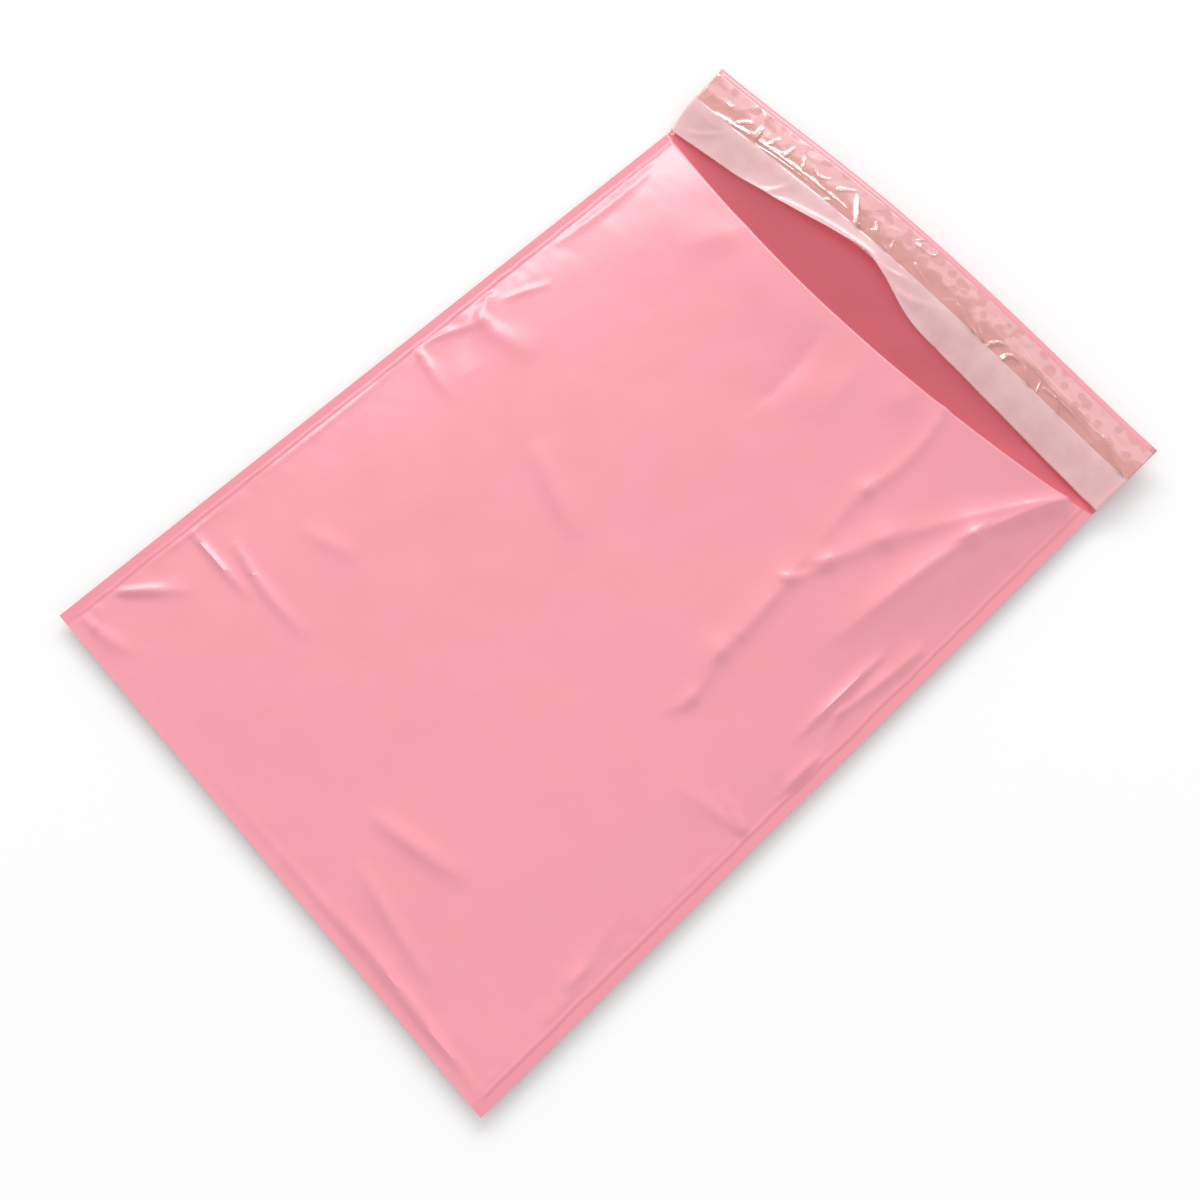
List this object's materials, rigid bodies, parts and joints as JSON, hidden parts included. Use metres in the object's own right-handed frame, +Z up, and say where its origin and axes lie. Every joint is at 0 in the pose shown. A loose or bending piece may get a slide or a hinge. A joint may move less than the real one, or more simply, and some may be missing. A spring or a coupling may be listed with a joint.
{
  "type": "poly mailer bag",
  "caption": "Flat film shipping bag, side-welded pouch with an open mouth and an adhesive closing flap covered by a release liner.",
  "frame": {"origin": "on the surface the bag lies on, under the centre of the pouch (the 240 by 320 mm part below the mouth line)", "axes": "+X across the bag, +Y from the folded bottom towards the flap, +Z up through the front panel"},
  "size_m": [0.246, 0.358, 0.0233],
  "materials": {
    "pink_film": "satin pink polyethylene film",
    "hot_melt": "glossy tan hot-melt adhesive",
    "milky_film": "translucent milky release film"
  },
  "bodies": {
    "root": {"bag_film": "pink_film", "adhesive_strip": "hot_melt", "release_liner": "milky_film"}
  },
  "joints": []
}
